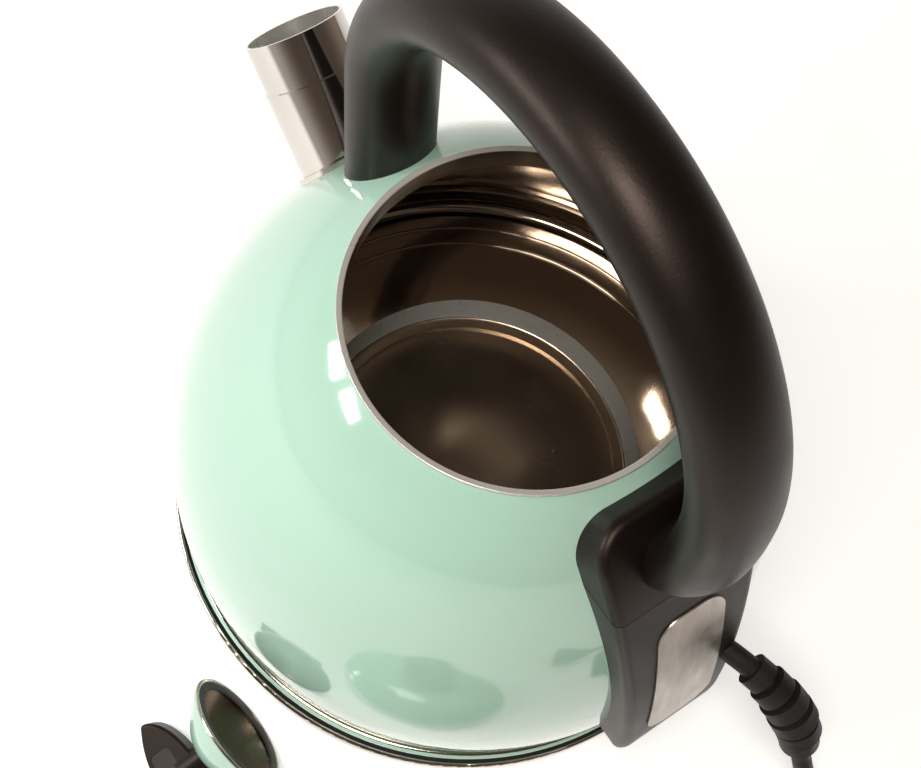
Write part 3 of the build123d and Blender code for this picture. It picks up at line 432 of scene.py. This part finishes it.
for row in frame["record"]["subparts"]:
    dress(nodes[row["node"]], row["material_slot"])
dress(nodes["floor_pan"], "inner_steel")
dress(lead, "cord_rubber")
dress(heater_step, "heater_aluminium")
dress_faces(nodes["body_shell"], "inner_steel", looks_at(BODY_MIDDLE))
# The cap's inside takes the darkened steel: painted dark reflection
dress_faces(nodes["cap_shell"], "cap_steel_painted_dark", looks_at(CAP_MOUTH))
dress_faces(nodes["floor_pan"], "step_steel", on_step)
dress_faces(heater_step, "step_steel", on_step)
dress_faces(nodes["mouth_collar"], "rim_steel", on_rim)
dress_faces(nodes["spout_tube"], "satin_steel", in_spout)
# The ring's channel faces take near-black: painted shade in the gap under the body's edge
dress_faces(nodes["base_ring"], "channel_painted_shade", in_channel)


# Stage and light
FLOOR_HALF = 3.0
FLOOR_DROP = 0.0004
FLOOR_GLOW = 0.50
FLOOR_GLOW_COLOUR = (1.0, 1.0, 1.0)
FLOOR_COLOUR = (0.84, 0.84, 0.83)
FLOOR_DARKEST = (0.83, 0.83, 0.82)
FLOOR_PALEST = (0.85, 0.85, 0.84)


def add_floor():
    """Pale floor: a little glow towards the camera makes it white, and it keeps a soft shadow."""
    mesh = bpy.data.meshes.new("floor")
    half = FLOOR_HALF
    corners = [(-half, -half, 0), (half, -half, 0), (half, half, 0), (-half, half, 0)]
    mesh.from_pydata(corners, [], [(0, 1, 2, 3)])
    floor = bpy.data.objects.new("floor", mesh)
    floor.location.z = -FLOOR_DROP
    scene.collection.objects.link(floor)
    paper = Finish("floor_paper", FLOOR_COLOUR, 0.9)
    paper.vary("Base Color", paper.noise(3.0), FLOOR_DARKEST, FLOOR_PALEST)
    paper.set("Specular IOR Level", 0.1)
    path = paper.add("ShaderNodeLightPath")
    seen = paper.add("ShaderNodeMath", operation="MAXIMUM")
    paper.link(path.outputs["Is Camera Ray"], seen.inputs[0])
    paper.link(path.outputs["Is Glossy Ray"], seen.inputs[1])
    glow = paper.add("ShaderNodeMath", operation="MULTIPLY")
    paper.link(seen.outputs["Value"], glow.inputs[0])
    glow.inputs[1].default_value = FLOOR_GLOW
    paper.link(glow.outputs["Value"], paper.shader.inputs["Emission Strength"])
    paper.set("Emission Color", (*FLOOR_GLOW_COLOUR, 1.0))
    mesh.materials.append(paper.material)


def add_lamp(name, place, aim, size, power, colour):
    """Rectangular soft lamp at a place, facing a point."""
    data = bpy.data.lights.new(name, "AREA")
    data.shape = "RECTANGLE"
    data.size = size[0]
    data.size_y = size[1]
    data.energy = power
    data.color = colour
    lamp = bpy.data.objects.new(name, data)
    lamp.location = place
    facing = Vector(aim) - Vector(place)
    lamp.rotation_euler = facing.to_track_quat("-Z", "Y").to_euler()
    scene.collection.objects.link(lamp)


# Lamps: a large one overhead and two window panes
KETTLE_MIDDLE = (0, 0, 0.1)
KETTLE_TOP = (0, 0, 0.12)
CEILING_LIGHT = (1.0, 0.93, 0.86)
WINDOW_LIGHT = (1.0, 0.99, 0.97)

# Room light: bright towards the window side, brown on the other side and overhead
WINDOW_SIDE = (-0.95, -0.30, 0.0)
ROOM_BRIGHT = (0.88, 0.87, 0.85, 1.0)
ROOM_DIM = (0.26, 0.21, 0.17, 1.0)
ROOM_CEILING = (0.09, 0.07, 0.055, 1.0)
WHITE = (1.0, 1.0, 1.0, 1.0)
WALL_FADE = (-0.5, 0.8)
CEILING_FADE = (0.05, 0.60)


def add_world():
    """Room light by direction; the camera sees it white."""
    world = bpy.data.worlds.new("room")
    scene.world = world
    world.use_nodes = True
    tree = world.node_tree
    back = tree.nodes["Background"]
    place = tree.nodes.new("ShaderNodeTexCoord")
    split = tree.nodes.new("ShaderNodeSeparateXYZ")
    tree.links.new(place.outputs["Generated"], split.inputs["Vector"])
    side = tree.nodes.new("ShaderNodeVectorMath")
    side.operation = "DOT_PRODUCT"
    side.inputs[1].default_value = WINDOW_SIDE
    tree.links.new(place.outputs["Generated"], side.inputs[0])
    walls = tree.nodes.new("ShaderNodeMapRange")
    walls.interpolation_type = "SMOOTHSTEP"
    walls.inputs["From Min"].default_value = WALL_FADE[0]
    walls.inputs["From Max"].default_value = WALL_FADE[1]
    tree.links.new(side.outputs["Value"], walls.inputs["Value"])
    wall = tree.nodes.new("ShaderNodeMixRGB")
    wall.inputs["Color1"].default_value = ROOM_DIM
    wall.inputs["Color2"].default_value = ROOM_BRIGHT
    tree.links.new(walls.outputs["Result"], wall.inputs["Fac"])
    rise = tree.nodes.new("ShaderNodeMapRange")
    rise.interpolation_type = "SMOOTHSTEP"
    rise.inputs["From Min"].default_value = CEILING_FADE[0]
    rise.inputs["From Max"].default_value = CEILING_FADE[1]
    tree.links.new(split.outputs["Z"], rise.inputs["Value"])
    room = tree.nodes.new("ShaderNodeMixRGB")
    room.inputs["Color2"].default_value = ROOM_CEILING
    tree.links.new(rise.outputs["Result"], room.inputs["Fac"])
    tree.links.new(wall.outputs["Color"], room.inputs["Color1"])
    path = tree.nodes.new("ShaderNodeLightPath")
    seen = tree.nodes.new("ShaderNodeMixRGB")
    seen.inputs["Color2"].default_value = WHITE
    tree.links.new(path.outputs["Is Camera Ray"], seen.inputs["Fac"])
    tree.links.new(room.outputs["Color"], seen.inputs["Color1"])
    tree.links.new(seen.outputs["Color"], back.inputs["Color"])
    back.inputs["Strength"].default_value = 1.0


add_floor()
add_world()
add_lamp("ceiling", (0.25, -0.55, 1.65), KETTLE_MIDDLE, (0.6, 0.6), 17.0, CEILING_LIGHT)
add_lamp("window_left", (-0.71, -0.83, 0.70), KETTLE_TOP, (0.25, 0.12), 3.2, WINDOW_LIGHT)
add_lamp("window_right", (-0.41, -1.00, 0.75), KETTLE_TOP, (0.22, 0.12), 3.2, WINDOW_LIGHT)

bpy.context.view_layer.update()
